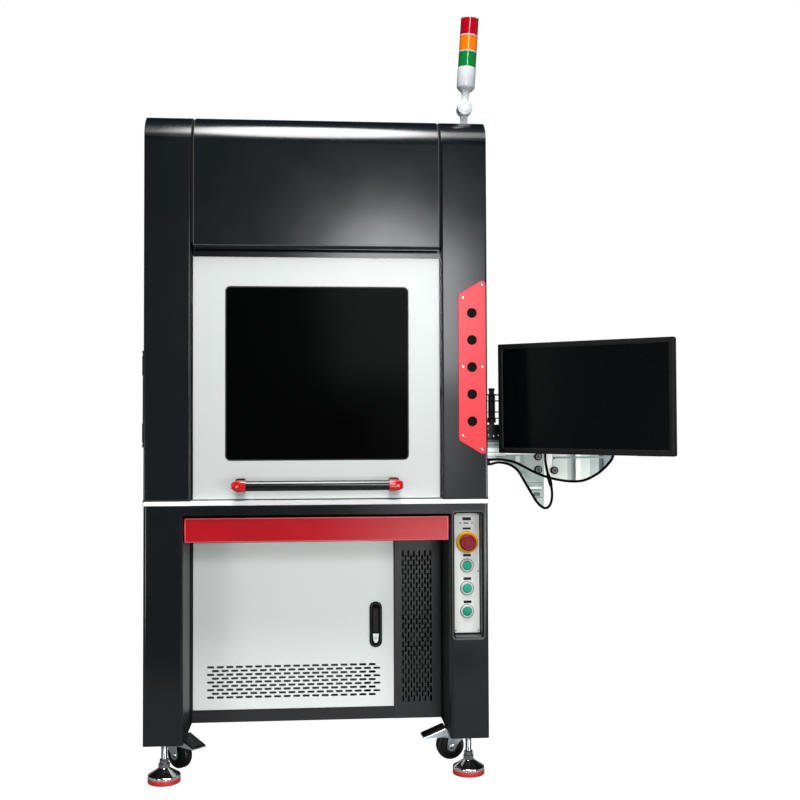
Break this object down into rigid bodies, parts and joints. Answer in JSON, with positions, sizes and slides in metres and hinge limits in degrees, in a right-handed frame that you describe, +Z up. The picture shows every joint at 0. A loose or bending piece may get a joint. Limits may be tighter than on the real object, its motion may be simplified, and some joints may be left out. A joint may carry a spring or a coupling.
{
  "type": "laser welding machine",
  "caption": "Enclosed floor-standing welding cell with a lift door, keyboard drawer, lower equipment cabinet, side monitor on a swing arm, control recess and stack light.",
  "frame": {"origin": "on the floor, under the middle of the whole outline with the monitor included", "axes": "+Z up; -Y is the operator's side with the lift door; +X is the side that carries the monitor"},
  "size_m": [1.3469, 1.2413, 2.0589],
  "materials": {
    "black_sheet": "semi-gloss fine powder coat",
    "white_sheet": "semi-gloss powder coat",
    "pale_door": "semi-gloss powder coat",
    "red_sheet": "satin powder coat",
    "coral_plate": "gloss paint",
    "dark_window": "dark laser-protection pane",
    "black_plastic": "matte",
    "red_plastic": "gloss",
    "yellow_plastic": "gloss",
    "green_plastic": "gloss",
    "white_plastic": "gloss",
    "lens_green": "moulded lens",
    "lens_orange": "moulded lens",
    "lens_red": "moulded lens",
    "aluminium": "anodised",
    "steel": "ground",
    "zinc": "zinc plated",
    "chrome": "polished",
    "rubber": "matte",
    "display": "display panel",
    "grey_paint": "satin"
  },
  "bodies": {
    "machine": {"base_frame": "black_sheet", "cabinet_shell": "black_sheet", "table_plate": "white_sheet", "enclosure_shell": "black_sheet", "left_column": "black_sheet", "right_column": "black_sheet", "header_panel": "black_sheet", "grille_panel": "black_sheet", "door_rails": "steel", "lift_cylinder": "aluminium", "control_plate": "white_sheet", "stop_collar": "yellow_plastic", "button_bezels": "chrome", "accent_plate": "coral_plate", "lamp_foot": "white_plastic", "side_bracket": "aluminium", "arm_post": "black_sheet", "signal_lead": "rubber", "power_lead": "rubber", "cable_gland": "black_plastic", "levelling_feet": "chrome", "caster_mounts": "zinc", "work_table": "aluminium", "z_column": "aluminium", "laser_source": "grey_paint", "chiller": "white_sheet", "computer": "black_sheet"},
    "lift_door": {"door_panel": "white_sheet", "door_window": "dark_window", "door_handle": "black_plastic", "handle_ends": "red_plastic", "door_carriage": "black_sheet"},
    "hatch": {"service_hatch": "black_sheet"},
    "drawer": {"drawer_front": "red_sheet", "drawer_tray": "black_sheet"},
    "low_door": {"cabinet_door": "pale_door", "cabinet_lock": "black_plastic"},
    "lever": {"lock_lever": "black_plastic"},
    "stop_head": {"stop_button": "red_plastic"},
    "button_1": {"upper_button": "green_plastic"},
    "button_2": {"middle_button": "green_plastic"},
    "button_3": {"lower_button": "green_plastic"},
    "lamp": {"lamp_base": "white_plastic", "lamp_green": "lens_green", "lamp_orange": "lens_orange", "lamp_red": "lens_red", "lamp_cap": "white_plastic"},
    "arm": {"swing_arm": "black_sheet"},
    "monitor": {"monitor_housing": "black_plastic", "monitor_screen": "display"},
    "left_caster": {"front_left_fork": "zinc"},
    "right_caster": {"front_right_fork": "zinc"},
    "wheel_fl": {"front_left_wheel": "rubber"},
    "wheel_fr": {"front_right_wheel": "rubber"},
    "wheel_rl": {"rear_left_wheel": "rubber"},
    "wheel_rr": {"rear_right_wheel": "rubber"},
    "pedal_l": {"left_brake_pedal": "black_plastic"},
    "pedal_r": {"right_brake_pedal": "black_plastic"},
    "focus_head": {"laser_head": "black_sheet"},
    "fan": {"chiller_fan": "black_plastic"}
  },
  "joints": [
    {"name": "door_lift", "type": "slide", "parent": "machine", "child": "lift_door", "axis": [0, 0, 1], "range_m": [0, 0.325]},
    {"name": "hatch_swing", "type": "hinge", "parent": "machine", "child": "hatch", "pos_m": [-0.6626, -0.362, 1], "axis": [0, 0, 1], "range_deg": [0, 100]},
    {"name": "drawer_slide", "type": "slide", "parent": "machine", "child": "drawer", "axis": [0, -1, 0], "range_m": [0, 0.35]},
    {"name": "low_door_swing", "type": "hinge", "parent": "machine", "child": "low_door", "pos_m": [-0.547, -0.178, 0.37], "axis": [0, 0, -1], "range_deg": [0, 90]},
    {"name": "lever_swing", "type": "hinge", "parent": "low_door", "child": "lever", "pos_m": [-0.047, -0.183, 0.415], "axis": [-1, 0, 0], "range_deg": [0, 60]},
    {"name": "stop_press", "type": "slide", "parent": "machine", "child": "stop_head", "axis": [0, 1, 0], "range_m": [0, 0.004]},
    {"name": "button_1_press", "type": "slide", "parent": "machine", "child": "button_1", "axis": [0, 1, 0], "range_m": [0, 0.003], "stiffness_N_per_m": 600},
    {"name": "button_2_press", "type": "slide", "parent": "machine", "child": "button_2", "axis": [0, 1, 0], "range_m": [0, 0.003], "stiffness_N_per_m": 600},
    {"name": "button_3_press", "type": "slide", "parent": "machine", "child": "button_3", "axis": [0, 1, 0], "range_m": [0, 0.003], "stiffness_N_per_m": 600},
    {"name": "lamp_fold", "type": "hinge", "parent": "machine", "child": "lamp", "pos_m": [0.197, -0.286, 1.801], "axis": [0, 1, 0], "range_deg": [-93, 86]},
    {"name": "arm_swivel", "type": "hinge", "parent": "machine", "child": "arm", "pos_m": [0.286, -0.178, 0.98], "axis": [0, 0, 1], "range_deg": [-10, 40], "deforming": ["signal_lead", "power_lead"]},
    {"name": "monitor_tilt", "type": "hinge", "parent": "arm", "child": "monitor", "pos_m": [0.53366, -0.39236, 0.9971], "axis": [-0.7581, 0.6521, 0], "range_deg": [-10, 20]},
    {"name": "left_caster_swivel", "type": "hinge", "parent": "machine", "child": "left_caster", "pos_m": [-0.602, -0.218, 0.09], "axis": [0, 0, 1], "continuous": true},
    {"name": "right_caster_swivel", "type": "hinge", "parent": "machine", "child": "right_caster", "pos_m": [0.184, -0.218, 0.09], "axis": [0, 0, 1], "continuous": true},
    {"name": "wheel_fl_spin", "type": "hinge", "parent": "left_caster", "child": "wheel_fl", "pos_m": [-0.58119, -0.23674, 0.043], "axis": [0.6691, 0.7431, 0], "continuous": true},
    {"name": "wheel_fr_spin", "type": "hinge", "parent": "right_caster", "child": "wheel_fr", "pos_m": [0.15615, -0.22093, 0.043], "axis": [0.1045, -0.9945, 0], "continuous": true},
    {"name": "wheel_rl_spin", "type": "hinge", "parent": "machine", "child": "wheel_rl", "pos_m": [-0.602, 0.459, 0.043], "axis": [1, 0, 0], "continuous": true},
    {"name": "wheel_rr_spin", "type": "hinge", "parent": "machine", "child": "wheel_rr", "pos_m": [0.184, 0.459, 0.043], "axis": [1, 0, 0], "continuous": true},
    {"name": "pedal_l_press", "type": "hinge", "parent": "left_caster", "child": "pedal_l", "pos_m": [-0.5693, -0.24744, 0.075], "axis": [0.6691, 0.7431, 0], "range_deg": [0, 12]},
    {"name": "pedal_r_press", "type": "hinge", "parent": "right_caster", "child": "pedal_r", "pos_m": [0.14024, -0.2226, 0.075], "axis": [0.1045, -0.9945, 0], "range_deg": [0, 12]},
    {"name": "focus_slide", "type": "slide", "parent": "machine", "child": "focus_head", "axis": [0, 0, 1], "range_m": [-0.15, 0.2]},
    {"name": "fan_spin", "type": "hinge", "parent": "machine", "child": "fan", "pos_m": [0.072, -0.078, 0.315], "axis": [0, 1, 0], "continuous": true}
  ]
}
